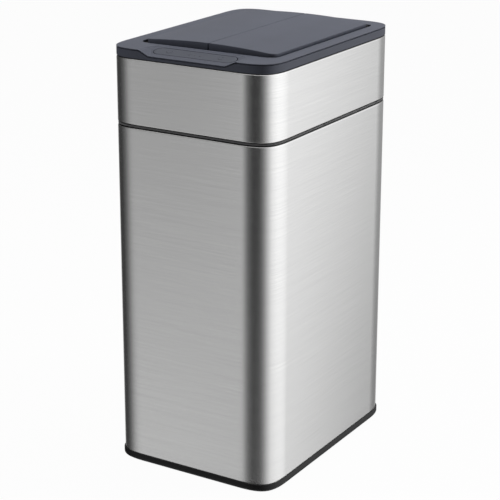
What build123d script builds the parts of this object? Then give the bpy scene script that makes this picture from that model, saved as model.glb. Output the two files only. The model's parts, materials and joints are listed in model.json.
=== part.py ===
from build123d import *
import math
import os

# Sensor bin, millimetres, +Z up, front towards -Y.
# The origin is the centre of the plan, on the floor.

# Steel body and collar
HALF_W = 137.5
HALF_D = 186.0
CORNER_R = 36.0
SHEET = 0.8
BODY_BOTTOM = 12.0
BODY_TOP = 528.0
COLLAR_BOTTOM = 534.0
COLLAR_TOP = 630.0
FLANGE_W = 14.0

# Base ring
RING_PROUD = 1.8
RING_BOTTOM = 0.8
RING_INSET = 16.0
PAD_R = 6.0
PAD_H = 2.8
PAD_INSET = 8.5
PAD_Y = 100.0

# The two plastic rims that meet in the gap under the collar
RIM_SETBACK = 0.5
RIM_GROOVE = 1.3
RIM_WALL = 2.2
BODY_RIM_BOTTOM = 503.0
BODY_RIM_TOP = 531.0
COLLAR_RIM_BOTTOM = 531.2
COLLAR_RIM_TOP = COLLAR_BOTTOM - RIM_GROOVE
SKIRT_INSET = 3.6
SKIRT_BOTTOM = 519.0
UNDERSIDE_Z = 545.0

# Bag ring
BAG_INSET = 6.2
BAG_WALL = 2.2
BAG_TOP = 518.0
BAG_INNER_INSET = 11.0
LEDGE_INSET = 12.0

# Lid frame
SKIRT_BASE = 630.4
PARTING_Z = 642.8
PARTING_GAP = 1.2
FRAME_WALL = 2.5
DECK_TOP = 632.9
SPIGOT_BOTTOM = 618.0
POST_R = 4.0
POST_X = 118.0
POST_Y = 100.0

# Top cover
COVER_TOP = 645.2
COVER_UNDER = 643.4
LOCATING_BOTTOM = 640.0
OPEN_X = 114.0
OPEN_FRONT = -137.0
OPEN_BACK = 160.0
OPEN_R = 11.0
WELL_WALL = 2.0
WELL_BOTTOM = 633.1
COVER_FIT = 0.3
LOCATING_WALL = 1.8

# Console, a scoop that slants down to the front
DIP = 7.7
DIP_INNER_X = 64.0
DIP_OUTER_X = 81.0
CONSOLE_RUN = 40.0
CONSOLE_THICK = 2.8
SLOPE = math.atan(DIP / CONSOLE_RUN)

# Sensor panel on the console
PANEL_L = 137.0
PANEL_W = 22.5
PANEL_T = 1.6
PANEL_PROUD = 0.15
PANEL_GAP = 0.35
PANEL_LEDGE = 2.4
PANEL_MIDDLE = 23.25
BUTTON_X = 43.0
BUTTON_R = 4.2
BUTTON_GAP = 0.3
BUTTON_STEM_R = 1.2
STEM_END = -2.6
LENS_X = 9.0
LENS_R = 2.5
LENS_FLANGE = 0.8
LIGHT_R = 1.25
DIODE_R = 1.5
BOARD_TOP = -4.6
BOARD_T = 1.2

# Throat through which rubbish drops
THROAT_X = 98.0
THROAT_FRONT = -125.0
THROAT_BACK = 147.0
THROAT_R = 6.0
THROAT_WALL = 2.0
THROAT_BOTTOM = 547.0

# Doors
DOOR_X = 110.0
DOOR_FRONT = -128.0
DOOR_BACK = 152.0
DOOR_GAP = 0.3
DOOR_SEAM_Z = 653.5
DOOR_EDGE_Z = 648.3
DOOR_WALL = 2.0
DOOR_R = 8.0
DOOR_ROUND = 1.2
DOOR_WALL_BOTTOM = 640.7
LINER_TOP = 640.5
LINER_BOTTOM = 638.5

# Door shafts and gears
PIVOT_X = 104.0
PIVOT_Z = 641.0
SHAFT_R = 2.0
RUNNING = 0.06
BOSS_R = 3.7
SHAFT_FRONT = -135.4
SHAFT_BACK = 159.6
BOSS_FRONT = (-135.6, -129.5)
BOSS_BACK = (152.8, 155.7)
MODULE = 0.9
SECTOR_TEETH = 34
PINION_TEETH = 17
GEAR_Y = (156.3, 159.3)
BACKLASH = 0.12
PRESSURE = math.radians(20)
PINION_Z = PIVOT_Z - MODULE * (SECTOR_TEETH + PINION_TEETH) / 2

# Gear motors
MOTOR_X = (72.0, 112.0)
MOTOR_Y = (161.0, 180.5)
MOTOR_Z = (606.0, 629.5)

# Battery box
CELL_R = 16.5
CELL_L = 60.0
BOX_X = 66.0
BOX_Y = (-173.6, -136.4)
BOX_TOP = 620.0
BOX_WALL = 1.6
CELL_ROWS = (566.5, 600.5)

# Wiring
LOOM_X = 60.0
LOOM_Y = -160.0
LOOM_R = 1.5
LEAD_X = (28.0, 32.0)
LEAD_Y = -158.0

# Socket and switch at the back
JACK_X = -40.0
JACK_Z = 637.2
SWITCH_X = 36.0
SWITCH_Z = 637.2
SWITCH_PIVOT_Y = 183.0
ROCKER_R = 4.0
ROCKER_HALF = 5.8
ROCKER_TILT = 7.0

SCREW_R = 1.5
HEAD_R = 3.1
HEAD_H = 1.8

os.makedirs("parts", exist_ok=True)
NODES = {}


def keep(name, *solids):
    """Stores a node made of one or more separate solids."""
    found = [solid for shape in solids for solid in shape.solids()]
    NODES[name] = Compound(children=found) if len(found) > 1 else found[0]


def outline(inset, z=0.0):
    """The bin's plan, drawn in by inset."""
    width = 2 * (HALF_W - inset)
    depth = 2 * (HALF_D - inset)
    return Pos(0, 0, z) * RectangleRounded(width, depth, CORNER_R - inset)


def prism(inset, z0, z1):
    return extrude(outline(inset, z0), z1 - z0)


def ring(outer, inner, z0, z1):
    return prism(outer, z0, z1) - prism(inner, z0, z1)


def block(x, y, z):
    """A box from three pairs of limits."""
    size = Box(x[1] - x[0], y[1] - y[0], z[1] - z[0])
    return Pos((x[0] + x[1]) / 2, (y[0] + y[1]) / 2, (z[0] + z[1]) / 2) * size


def slab(half_x, y0, y1, radius, z0, z1):
    """A rounded rectangle, centred on x = 0, between two heights."""
    plan = Pos(0, (y0 + y1) / 2, z0) * RectangleRounded(2 * half_x, y1 - y0, radius)
    return extrude(plan, z1 - z0)


def post(x, y, z0, z1, radius):
    return Pos(x, y, (z0 + z1) / 2) * Cylinder(radius, z1 - z0)


def rod_y(x, z, y0, y1, radius):
    """A cylinder along Y."""
    return Pos(x, (y0 + y1) / 2, z) * Rot(90, 0, 0) * Cylinder(radius, y1 - y0)


def rod_x(y, z, x0, x1, radius):
    """A cylinder along X."""
    return Pos((x0 + x1) / 2, y, z) * Rot(0, 90, 0) * Cylinder(radius, x1 - x0)


def both_sides(shape):
    return [shape, mirror(shape, about=Plane.YZ)]


def four(x, y):
    return [(sx * x, sy * y) for sx in (-1, 1) for sy in (-1, 1)]


# Base

def pad_places():
    return four(HALF_W - PAD_INSET, PAD_Y)


def base_screw_places():
    return four(HALF_W - 7.0, 50.0) + [(-60.0, HALF_D - 7.0), (60.0, HALF_D - 7.0)]


def base_ring():
    whole = prism(-RING_PROUD, RING_BOTTOM, BODY_BOTTOM)
    bottom = whole.faces().sort_by(Axis.Z)[0].outer_wire().edges()
    whole = fillet(bottom, 3.6)
    top = whole.faces().sort_by(Axis.Z)[-1].outer_wire().edges()
    whole = fillet(top, 0.8)
    whole -= prism(RING_INSET, 0, BODY_BOTTOM + 1)
    for x, y in pad_places():
        whole -= post(x, y, 0, PAD_H + 0.1, PAD_R + 0.1)
    for x, y in base_screw_places():
        whole -= post(x, y, 0, 7.0, HEAD_R + 0.4)
        whole -= post(x, y, 0, BODY_BOTTOM + 1, SCREW_R + 0.2)
    return whole


def screw(x, y, head_z, tip_z):
    """A pan-head screw standing upwards from its head, with a cross slot."""
    head = post(x, y, head_z - HEAD_H, head_z, HEAD_R)
    slot = block((x - 1.8, x + 1.8), (y - 0.4, y + 0.4), (head_z - HEAD_H, head_z - HEAD_H + 0.9))
    cross = block((x - 0.4, x + 0.4), (y - 1.8, y + 1.8), (head_z - HEAD_H, head_z - HEAD_H + 0.9))
    return head + post(x, y, head_z, tip_z, SCREW_R) - slot - cross


def base_flange():
    """The flat ring welded inside the shell's foot, which the base screws pass through."""
    flange = ring(SHEET, FLANGE_W, BODY_BOTTOM, BODY_BOTTOM + SHEET)
    for x, y in base_screw_places():
        flange -= post(x, y, BODY_BOTTOM - 1, BODY_BOTTOM + 2, SCREW_R + 0.2)
    return flange


def floor_plate():
    plate = prism(1.0, BODY_BOTTOM + SHEET, BODY_BOTTOM + 2 * SHEET)
    for x, y in base_screw_places():
        plate -= post(x, y, BODY_BOTTOM, BODY_BOTTOM + 3, SCREW_R + 0.05)
    return plate


keep("base_ring", base_ring())
keep("foot_pads", *[post(x, y, 0, PAD_H, PAD_R) for x, y in pad_places()])
keep("base_screws", *[screw(x, y, 7.0, BODY_BOTTOM + 4) for x, y in base_screw_places()])
keep("body_shell", ring(0, SHEET, BODY_BOTTOM, BODY_TOP))
keep("base_flange", base_flange())
keep("floor_plate", floor_plate())


# Rims and bag ring

def body_rim():
    wall = ring(1.0, 1.0 + RIM_WALL, BODY_RIM_BOTTOM, BODY_TOP + RIM_GROOVE)
    lip = ring(RIM_SETBACK, 1.0 + RIM_WALL, BODY_TOP + RIM_GROOVE, BODY_RIM_TOP)
    ledge = ring(1.0, LEDGE_INSET, BODY_RIM_BOTTOM, BODY_RIM_BOTTOM + 2.0)
    return wall + lip + ledge


def collar_rim():
    lip = ring(RIM_SETBACK, 8.0, COLLAR_RIM_BOTTOM, COLLAR_RIM_TOP)
    skirt = ring(SKIRT_INSET, SKIRT_INSET + 2.0, SKIRT_BOTTOM, COLLAR_RIM_BOTTOM + 0.5)
    wall = ring(1.0, 1.0 + RIM_WALL, COLLAR_RIM_TOP - 0.5, UNDERSIDE_Z)
    return lip + skirt + wall


def bag_ring():
    bottom = BODY_RIM_BOTTOM + 2.1
    wall = ring(BAG_INSET, BAG_INSET + BAG_WALL, bottom, BAG_TOP)
    foot = ring(BAG_INSET, BAG_INNER_INSET, bottom, bottom + 2.0)
    return wall + foot


keep("body_rim", body_rim())
keep("collar_rim", collar_rim())
keep("bag_ring", bag_ring())
keep("collar_shell", ring(0, SHEET, COLLAR_BOTTOM, COLLAR_TOP))


# Lid frame, top cover and console

def dip_profile(z):
    """The scoop's section above height z, dropping by DIP between S-curves."""
    low = z - DIP
    middle_x = (DIP_INNER_X + DIP_OUTER_X) / 2
    middle_z = z - DIP / 2
    far = HALF_W + 20
    sky = z + 60
    edges = []
    for side in (-1, 1):
        outer = (side * DIP_OUTER_X, z)
        middle = (side * middle_x, middle_z)
        inner = (side * DIP_INNER_X, low)
        edges.append(Line((side * far, sky), (side * far, z)))
        edges.append(Line((side * far, z), outer))
        edges.append(TangentArc(outer, middle, tangent=(-side, 0)))
        edges.append(TangentArc(inner, middle, tangent=(side, 0)))
    edges.append(Line((-DIP_INNER_X, low), (DIP_INNER_X, low)))
    edges.append(Line((-far, sky), (far, sky)))
    return make_face(Curve() + edges)


def above_dip(z, slope, y_end):
    """Everything above the scoop's surface, from in front of the bin back to y_end."""
    start = -HALF_D - 14.0
    run = y_end - start
    drop = (-HALF_D - start) * math.tan(slope)
    face = Plane((0, start, -drop), x_dir=(1, 0, 0), z_dir=(0, -1, 0)) * dip_profile(z)
    return extrude(face, run / math.cos(slope), dir=(0, math.cos(slope), math.sin(slope)))


def post_places():
    return four(POST_X, POST_Y) + [(-POST_X, 0.0), (POST_X, 0.0)]


def gear_slot(z0, z1):
    """The room that the right sector gear swings through."""
    return block((86.5, 122.0), (GEAR_Y[0] - 0.4, GEAR_Y[1] + 0.5), (z0, z1))


def lid_frame():
    skirt = ring(0, FRAME_WALL, SKIRT_BASE, PARTING_Z)
    skirt -= above_dip(PARTING_Z, 0.0, -HALF_D + 20)
    deck = prism(1.0, SKIRT_BASE, DECK_TOP)
    deck -= slab(THROAT_X, THROAT_FRONT, THROAT_BACK, THROAT_R, SKIRT_BASE - 1, DECK_TOP + 1)
    spigot = ring(1.0, 1.0 + RIM_WALL, SPIGOT_BOTTOM, SKIRT_BASE + 0.5)
    frame = skirt + deck + spigot
    for y0, y1 in (BOSS_FRONT, BOSS_BACK):
        boss = block((PIVOT_X - BOSS_R, PIVOT_X + BOSS_R), (y0, y1), (DECK_TOP - 0.5, PIVOT_Z))
        boss += rod_y(PIVOT_X, PIVOT_Z, y0, y1, BOSS_R)
        for side in both_sides(boss):
            frame += side
    for x, y in post_places():
        frame += post(x, y, THROAT_BOTTOM + 0.1, SKIRT_BASE + 0.5, POST_R)
    for x, y in post_places():
        frame -= post(x, y, THROAT_BOTTOM - 1, THROAT_BOTTOM + 14, SCREW_R + 0.05)
    bore = rod_y(PIVOT_X, PIVOT_Z, OPEN_FRONT - 1, OPEN_BACK + 1.4, SHAFT_R + RUNNING)
    for side in both_sides(bore) + both_sides(gear_slot(SKIRT_BASE - 1, DECK_TOP + 1)):
        frame -= side
    for x, y in motor_screw_places():
        frame -= post(x, y, SKIRT_BASE - 1, DECK_TOP + 0.1, SCREW_R + 0.05)
    for side in both_sides(post(LOOM_X, LOOM_Y, SKIRT_BASE - 1, DECK_TOP + 1, 3.6)):
        frame -= side
    frame -= post(sum(LEAD_X) / 2, LEAD_Y, SKIRT_BASE - 1, DECK_TOP + 1, 4.0)
    frame -= rod_y(JACK_X, JACK_Z, HALF_D - 4, HALF_D + 1, 4.1)
    window = (SWITCH_X - ROCKER_HALF - 0.4, SWITCH_X + ROCKER_HALF + 0.4)
    frame -= block(window, (HALF_D - 4, HALF_D + 1), (SWITCH_Z - 4.4, SWITCH_Z + 4.4))
    return frame


def panel_plane(offset=0.0):
    """A plane on the console's slope at the middle of the panel, offset along its normal."""
    y = -HALF_D + PANEL_MIDDLE
    z = COVER_TOP - DIP + PANEL_MIDDLE * math.tan(SLOPE)
    normal = (0, -math.sin(SLOPE), math.cos(SLOPE))
    origin = (0, y + offset * normal[1], z + offset * normal[2])
    return Plane(origin, x_dir=(1, 0, 0), z_dir=normal)


def stadium(grow, offset, height):
    """A stadium prism that stands on the slope, from offset up by height."""
    sketch = SlotOverall(PANEL_L + 2 * grow, PANEL_W + 2 * grow)
    return extrude(panel_plane(offset) * sketch, height)


def slope_rod(x, radius, bottom, top):
    """A round solid square to the slope, at x along the panel's middle line."""
    return extrude(panel_plane(bottom) * Pos(x, 0) * Circle(radius), top - bottom)


def well_wall():
    """The solid block whose shell becomes the turned-down wall round the doors."""
    front, back = OPEN_FRONT - WELL_WALL, OPEN_BACK + WELL_WALL
    return slab(OPEN_X + WELL_WALL, front, back, OPEN_R + WELL_WALL, WELL_BOTTOM, COVER_UNDER + 0.2)


def top_cover():
    plate = prism(0, PARTING_Z + PARTING_GAP, COVER_TOP)
    rim = plate.faces().sort_by(Axis.Z)[-1].outer_wire().edges()
    plate = fillet(rim, 0.7)
    plate += prism(FRAME_WALL + COVER_FIT, COVER_UNDER, PARTING_Z + PARTING_GAP + 0.2)
    plate -= above_dip(COVER_TOP, SLOPE, -HALF_D + 90)
    console = above_dip(COVER_TOP - CONSOLE_THICK, SLOPE, -HALF_D + 90)
    console -= above_dip(COVER_TOP, SLOPE, -HALF_D + 91)
    console_x = (-DIP_OUTER_X - 8, DIP_OUTER_X + 8)
    console &= block(console_x, (-HALF_D - 1, -HALF_D + 47), (620, COVER_TOP - 0.05))
    console &= prism(0, 620, 660)
    skirt_space = ring(-1, FRAME_WALL + COVER_FIT, 620, PARTING_Z + PARTING_GAP)
    skirt_space -= above_dip(PARTING_Z + PARTING_GAP, 0.0, -HALF_D + 20)
    cover = plate + console - skirt_space
    locating_in = FRAME_WALL + COVER_FIT
    locating = ring(locating_in, locating_in + LOCATING_WALL, LOCATING_BOTTOM, COVER_UNDER + 0.2)
    locating -= block((-DIP_OUTER_X - 6, DIP_OUTER_X + 6), (-HALF_D - 1, -HALF_D + 20), (620, 660))
    locating -= block((JACK_X - 7, JACK_X + 7), (HALF_D - 20, HALF_D), (620, COVER_UNDER))
    locating -= block((SWITCH_X - 10, SWITCH_X + 10), (HALF_D - 20, HALF_D), (620, COVER_UNDER))
    cover += locating + well_wall()
    cover -= slab(OPEN_X, OPEN_FRONT, OPEN_BACK, OPEN_R, WELL_BOTTOM - 1, COVER_TOP + 1)
    for side in both_sides(gear_slot(WELL_BOTTOM - 1, PIVOT_Z + 1.5)):
        cover -= side
    cover -= stadium(PANEL_GAP, -PANEL_T, 20)
    cover -= stadium(-PANEL_LEDGE, -20, 20)
    return cover


def sensor_panel():
    panel = stadium(0, -PANEL_T, PANEL_T + PANEL_PROUD)
    top_edges = panel.edges().filter_by(lambda e: abs(panel_height(e) - PANEL_PROUD) < 1e-3)
    panel = fillet(top_edges, 0.3)
    for x in (-BUTTON_X, BUTTON_X):
        panel -= slope_rod(x, BUTTON_R + BUTTON_GAP, -5, 5)
    for x in (-LENS_X, LENS_X):
        panel -= slope_rod(x, LENS_R + 0.05, -5, 5)
    panel -= slope_rod(0, LIGHT_R + 0.05, -5, 5)
    return panel


def panel_height(edge):
    """How far an edge's middle stands off the slope."""
    return panel_plane().to_local_coords(edge.center()).Z


def push_button(x):
    cap = slope_rod(x, BUTTON_R, -PANEL_T, PANEL_PROUD + 0.1)
    cap = fillet(cap.edges().filter_by(lambda e: panel_height(e) > PANEL_PROUD), 0.2)
    return cap + slope_rod(x, BUTTON_STEM_R, STEM_END, -PANEL_T)


def circuit_board():
    sketch = SlotOverall(PANEL_L - 8, PANEL_W - 6)
    board = extrude(panel_plane(BOARD_TOP - BOARD_T) * sketch, BOARD_T)
    return board


def tact_switch(x):
    case = extrude(panel_plane(BOARD_TOP) * Pos(x, 0) * Rectangle(6, 6), 0.6)
    return case + slope_rod(x, 1.5, BOARD_TOP + 0.6, -3.8)


def lens(x):
    flange = slope_rod(x, LENS_R + 1.0, -PANEL_T - LENS_FLANGE, -PANEL_T)
    return flange + slope_rod(x, LENS_R, -PANEL_T, PANEL_PROUD)


def diode(x):
    """A round emitter or receiver on the board, behind its lens."""
    return slope_rod(x, DIODE_R, BOARD_TOP, -PANEL_T - LENS_FLANGE - 0.1)


def motor_screw_places():
    x = MOTOR_X[0] - 4.0
    return [(side * x, y) for side in (-1, 1) for y in (166.0, 176.0)]


keep("lid_frame", lid_frame())
keep("top_cover", top_cover())
keep("sensor_panel", sensor_panel())
keep("sensor_lenses", lens(-LENS_X), lens(LENS_X))
keep("indicator_light", slope_rod(0, LIGHT_R, BOARD_TOP, PANEL_PROUD))
keep("infrared_emitter", diode(-LENS_X))
keep("infrared_receiver", diode(LENS_X))
keep("circuit_board", circuit_board())
keep("tact_switches", tact_switch(-BUTTON_X), tact_switch(BUTTON_X))
keep("open_button", push_button(-BUTTON_X))
keep("close_button", push_button(BUTTON_X))


# Throat and underside

def throat_liner():
    outer = slab(
        THROAT_X + THROAT_WALL,
        THROAT_FRONT - THROAT_WALL,
        THROAT_BACK + THROAT_WALL,
        THROAT_R + THROAT_WALL,
        THROAT_BOTTOM,
        SKIRT_BASE,
    )
    return outer - slab(THROAT_X, THROAT_FRONT, THROAT_BACK, THROAT_R, THROAT_BOTTOM - 1, SKIRT_BASE + 1)


def underside_cover():
    plate = prism(1.2, UNDERSIDE_Z, THROAT_BOTTOM)
    plate -= slab(THROAT_X, THROAT_FRONT, THROAT_BACK, THROAT_R, 540, 550)
    box_x = (-BOX_X + BOX_WALL, BOX_X - BOX_WALL)
    plate -= block(box_x, (BOX_Y[0] + BOX_WALL, BOX_Y[1] - BOX_WALL), (540, 550))
    for x, y in post_places():
        plate -= post(x, y, 540, 550, SCREW_R + 0.05)
    return plate


def battery_box():
    box = block((-BOX_X, BOX_X), BOX_Y, (THROAT_BOTTOM, BOX_TOP))
    inner_y = (BOX_Y[0] + BOX_WALL, BOX_Y[1] - BOX_WALL)
    box -= block((-BOX_X + BOX_WALL, BOX_X - BOX_WALL), inner_y, (THROAT_BOTTOM - 1, BOX_TOP - BOX_WALL))
    return box


def cells():
    """Four round cells in two rows, each with its raised contact."""
    y = (BOX_Y[0] + BOX_Y[1]) / 2
    made = []
    for z in CELL_ROWS:
        for start in (-CELL_L - 0.8, 0.8):
            can = rod_x(y, z, start, start + CELL_L - 1.5, CELL_R)
            made.append(can + rod_x(y, z, start + CELL_L - 2.5, start + CELL_L, 4.5))
    return made


def contact_plates():
    y = (BOX_Y[0] + BOX_Y[1]) / 2
    made = []
    for z in CELL_ROWS:
        for x in (-BOX_X + BOX_WALL, BOX_X - BOX_WALL - 0.6):
            made.append(block((x, x + 0.6), (y - 8, y + 8), (z - 8, z + 8)))
    return made


def battery_cover():
    plate = slab(BOX_X + 4, BOX_Y[0] - 2, BOX_Y[1] + 2, 4, UNDERSIDE_Z - 2.1, UNDERSIDE_Z - 0.1)
    lip_y = (BOX_Y[0] + BOX_WALL + 0.4, BOX_Y[1] - BOX_WALL - 0.4)
    lip_x = BOX_X - BOX_WALL - 0.4
    lip = block((-lip_x, lip_x), lip_y, (UNDERSIDE_Z - 0.5, UNDERSIDE_Z + 2.6))
    hollow_y = (lip_y[0] + BOX_WALL, lip_y[1] - BOX_WALL)
    lip -= block((-lip_x + BOX_WALL, lip_x - BOX_WALL), hollow_y, (UNDERSIDE_Z - 0.1, UNDERSIDE_Z + 5))
    return plate + lip


keep("throat_liner", throat_liner())
keep("underside_cover", underside_cover())
keep("cover_screws", *[screw(x, y, UNDERSIDE_Z, THROAT_BOTTOM + 12) for x, y in post_places()])
keep("battery_box", battery_box())
keep("battery_cells", *cells())
keep("contact_plates", *contact_plates())
keep("battery_cover", battery_cover())


# Socket and switch

def dc_socket():
    body = block((JACK_X - 5, JACK_X + 5), (171.0, 183.2), (DECK_TOP, 642.2))
    body += rod_y(JACK_X, JACK_Z, 182.0, HALF_D + 0.6, 3.95)
    body -= rod_y(JACK_X, JACK_Z, 174.0, HALF_D + 2, 2.8)
    return body + rod_y(JACK_X, JACK_Z, 173.0, 184.0, 1.0)


def switch_housing():
    half = ROCKER_HALF + 2.2
    body = block((SWITCH_X - half, SWITCH_X + half), (174.0, 183.3), (DECK_TOP, 642.2))
    gap = ROCKER_HALF + 0.3
    body -= rod_x(SWITCH_PIVOT_Y, SWITCH_Z, SWITCH_X - gap, SWITCH_X + gap, ROCKER_R + 0.3)
    terminal = block((SWITCH_X - 4, SWITCH_X - 2.5), (170.0, 175.0), (636.0, 638.0))
    return body + terminal


def power_switch():
    """A rocker whose two front facets meet in a shallow valley, tipped to off."""
    drum = rod_x(0, 0, -ROCKER_HALF, ROCKER_HALF, ROCKER_R)
    for side in (-1, 1):
        facet = Rot(side * ROCKER_TILT, 0, 0) * block((-9, 9), (3.0, 9), (-9, 9))
        drum -= facet
    drum = Rot(-ROCKER_TILT, 0, 0) * drum
    return Pos(SWITCH_X, SWITCH_PIVOT_Y, SWITCH_Z) * drum


keep("dc_socket", dc_socket())
keep("switch_housing", switch_housing())
keep("power_switch", power_switch())


# Doors

def door_top_arc(drop):
    """The crown's radius and the height of its centre, lowered by drop."""
    rise = DOOR_SEAM_Z - DOOR_EDGE_Z
    radius = (DOOR_X ** 2 + rise ** 2) / (2 * rise)
    return radius, DOOR_SEAM_Z - radius - drop


def door_solid(inset, drop, bottom):
    """The right door's outer form, drawn in by inset and with its crown lowered by drop."""
    radius, centre_z = door_top_arc(drop)
    x0 = DOOR_GAP + inset
    x1 = DOOR_X - inset
    top = [(x, centre_z + math.sqrt(radius ** 2 - x ** 2)) for x in (x0, (x0 + x1) / 2, x1)]
    edges = [
        ThreePointArc(*top),
        Line(top[2], (x1, bottom)),
        Line((x1, bottom), (x0, bottom)),
        Line((x0, bottom), top[0]),
    ]
    start = DOOR_FRONT + inset
    face = Plane((0, start, 0), x_dir=(1, 0, 0), z_dir=(0, -1, 0)) * make_face(Curve() + edges)
    solid = extrude(face, DOOR_BACK - inset - start, dir=(0, 1, 0))
    corners = solid.edges().filter_by(Axis.Z).sort_by(Axis.X)[-2:]
    return fillet(corners, DOOR_R - inset)


def door_panel():
    outer = door_solid(0, 0, DOOR_WALL_BOTTOM)
    top = outer.faces().sort_by(Axis.Z)[-1]
    outer = fillet(top.outer_wire().edges(), DOOR_ROUND)
    panel = outer - door_solid(DOOR_WALL, DOOR_WALL, DOOR_WALL_BOTTOM - 1)
    return panel - rod_y(PIVOT_X, PIVOT_Z, DOOR_FRONT - 5, DOOR_BACK + 5, SHAFT_R + 0.3)


def door_liner():
    plate = door_solid(DOOR_WALL + 0.2, 0, LINER_BOTTOM) & block((-1, 120), (-200, 200), (630, LINER_TOP))
    for y0, y1 in ((-119.0, -99.0), (4.0, 24.0), (123.0, 143.0)):
        plate += rod_y(PIVOT_X, PIVOT_Z, y0, y1, 3.5)
    for y in (-90, -40, 60, 110):
        plate += block((8, 96), (y - 0.8, y + 0.8), (LINER_TOP - 0.2, LINER_TOP + 4.0))
    return plate - rod_y(PIVOT_X, PIVOT_Z, DOOR_FRONT - 5, DOOR_BACK + 5, SHAFT_R + 0.02)


# Gears

def involute_point(base, angle):
    """The point of an involute unrolled by angle, and its polar form."""
    radius = base * math.sqrt(1 + angle ** 2)
    return radius, angle - math.atan(angle)


def tooth_points(teeth, middle):
    """One tooth's outline in polar steps, centred on the direction middle."""
    pitch = MODULE * teeth / 2
    base = pitch * math.cos(PRESSURE)
    tip = pitch + MODULE
    root = pitch - 1.25 * MODULE
    half_pitch = math.pi / (2 * teeth) - BACKLASH / 2 / pitch
    flank_start = math.tan(PRESSURE) - PRESSURE
    unroll = math.sqrt((tip / base) ** 2 - 1)
    flank = []
    for step in range(7):
        radius, turn = involute_point(base, unroll * step / 6)
        flank.append((radius, half_pitch + flank_start - turn))
    rising = [(min(root, base), flank[0][1])] + flank
    left = [(r, middle - a) for r, a in rising]
    right = [(r, middle + a) for r, a in reversed(rising)]
    return [(r * math.cos(a), r * math.sin(a)) for r, a in left + right]


def gear_plane():
    """X and Z in the plane, extruded along +Y."""
    return Plane((0, GEAR_Y[0], 0), x_dir=(1, 0, 0), z_dir=(0, -1, 0))


def gear_plate(sketch):
    return extrude(gear_plane() * sketch, GEAR_Y[1] - GEAR_Y[0], dir=(0, 1, 0))


def sector_gear():
    """The right door's sector: its teeth run from just past straight down round to straight out."""
    step = 2 * math.pi / SECTOR_TEETH
    root = MODULE * SECTOR_TEETH / 2 - 1.25 * MODULE
    first = -math.pi / 2 - step
    last = first + 9 * step
    edge = step * 0.55
    start = (root * math.cos(first - edge), root * math.sin(first - edge))
    middle = (first + last) / 2
    through = (root * math.cos(middle), root * math.sin(middle))
    end = (root * math.cos(last + edge), root * math.sin(last + edge))
    web = make_face(Curve() + [Line((0, 0), start), ThreePointArc(start, through, end), Line(end, (0, 0))])
    sketch = web + Circle(3.6)
    for index in range(10):
        points = tooth_points(SECTOR_TEETH, first + index * step)
        inner = [(x * 0.9, y * 0.9) for x, y in (points[-1], points[0])]
        sketch += make_face(Polyline(*points, *inner, close=True))
    solid = gear_plate(Pos(PIVOT_X, PIVOT_Z) * sketch)
    return solid - rod_y(PIVOT_X, PIVOT_Z, GEAR_Y[0] - 5, GEAR_Y[1] + 5, SHAFT_R + 0.02)


def pinion():
    """A full pinion with a space straight up, and its output shaft."""
    step = 2 * math.pi / PINION_TEETH
    root = MODULE * PINION_TEETH / 2 - 1.25 * MODULE
    sketch = Circle(root)
    for index in range(PINION_TEETH):
        points = tooth_points(PINION_TEETH, math.pi / 2 + (index + 0.5) * step)
        inner = [(x * 0.8, y * 0.8) for x, y in (points[-1], points[0])]
        sketch += make_face(Polyline(*points, *inner, close=True))
    solid = gear_plate(Pos(PIVOT_X, PINION_Z) * sketch)
    return solid + rod_y(PIVOT_X, PINION_Z, GEAR_Y[1] - 1, MOTOR_Y[0] + 6, SHAFT_R)


def gear_motor():
    case = block(MOTOR_X, MOTOR_Y, MOTOR_Z)
    case = fillet(case.edges().filter_by(Axis.Y), 3)
    ear = block((MOTOR_X[0] - 8, MOTOR_X[0] + 1), MOTOR_Y, (SKIRT_BASE - 2.4, SKIRT_BASE - 0.1))
    can = rod_y(84, (MOTOR_Z[0] + MOTOR_Z[1]) / 2, MOTOR_Y[0] - 6, MOTOR_Y[0], 8)
    motor = case + ear + can
    for x, y in motor_screw_places():
        motor -= post(x, y, 600, 640, SCREW_R + 0.2)
    return motor - rod_y(PIVOT_X, PINION_Z, MOTOR_Y[0] - 1, MOTOR_Y[0] + 7, SHAFT_R + RUNNING)


def hinge_shaft():
    return rod_y(PIVOT_X, PIVOT_Z, SHAFT_FRONT, SHAFT_BACK, SHAFT_R)


def wiring_loom():
    """A cable from the right end of the board, down through the deck and round to the motor."""
    level = 625.5
    lane_x = 107.0
    lane_y = 152.5
    motor_x = 76.5
    points = [
        (LOOM_X, LOOM_Y, 636.2),
        (LOOM_X, LOOM_Y, level),
        (lane_x, LOOM_Y, level),
        (lane_x, lane_y, level),
        (motor_x, lane_y, level),
        (motor_x, MOTOR_Y[0], level),
    ]
    path = FilletPolyline(*points, radius=[4.5, 15.0, 13.0, 3.5])
    return sweep(Pos(*points[0]) * Circle(LOOM_R), path=path)


def battery_leads():
    """Two straight leads from the battery box up to the board."""
    return [post(x, LEAD_Y, BOX_TOP, 636.5, 0.9) for x in LEAD_X]


PIECES = {
    "door_panel": door_panel(),
    "door_liner": door_liner(),
    "hinge_shaft": hinge_shaft(),
    "sector_gear": sector_gear(),
    "drive_pinion": pinion(),
    "gear_motor": gear_motor(),
}
for piece_name, piece in PIECES.items():
    right, left = both_sides(piece)
    keep("right_" + piece_name, right)
    keep("left_" + piece_name, left)


def motor_screws():
    return [screw(x, y, SKIRT_BASE - 2.4, SKIRT_BASE + 2.3) for x, y in motor_screw_places()]


keep("motor_screws", *motor_screws())
keep("wiring_looms", *both_sides(wiring_loom()))
keep("battery_leads", *battery_leads())

for node_name, shape in NODES.items():
    export_step(shape, os.path.join("parts", node_name + ".step"))
print(len(NODES), "nodes written")
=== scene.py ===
import json
import math

import bmesh
import bpy
import numpy as np
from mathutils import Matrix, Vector
from mathutils.geometry import delaunay_2d_cdt


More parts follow.
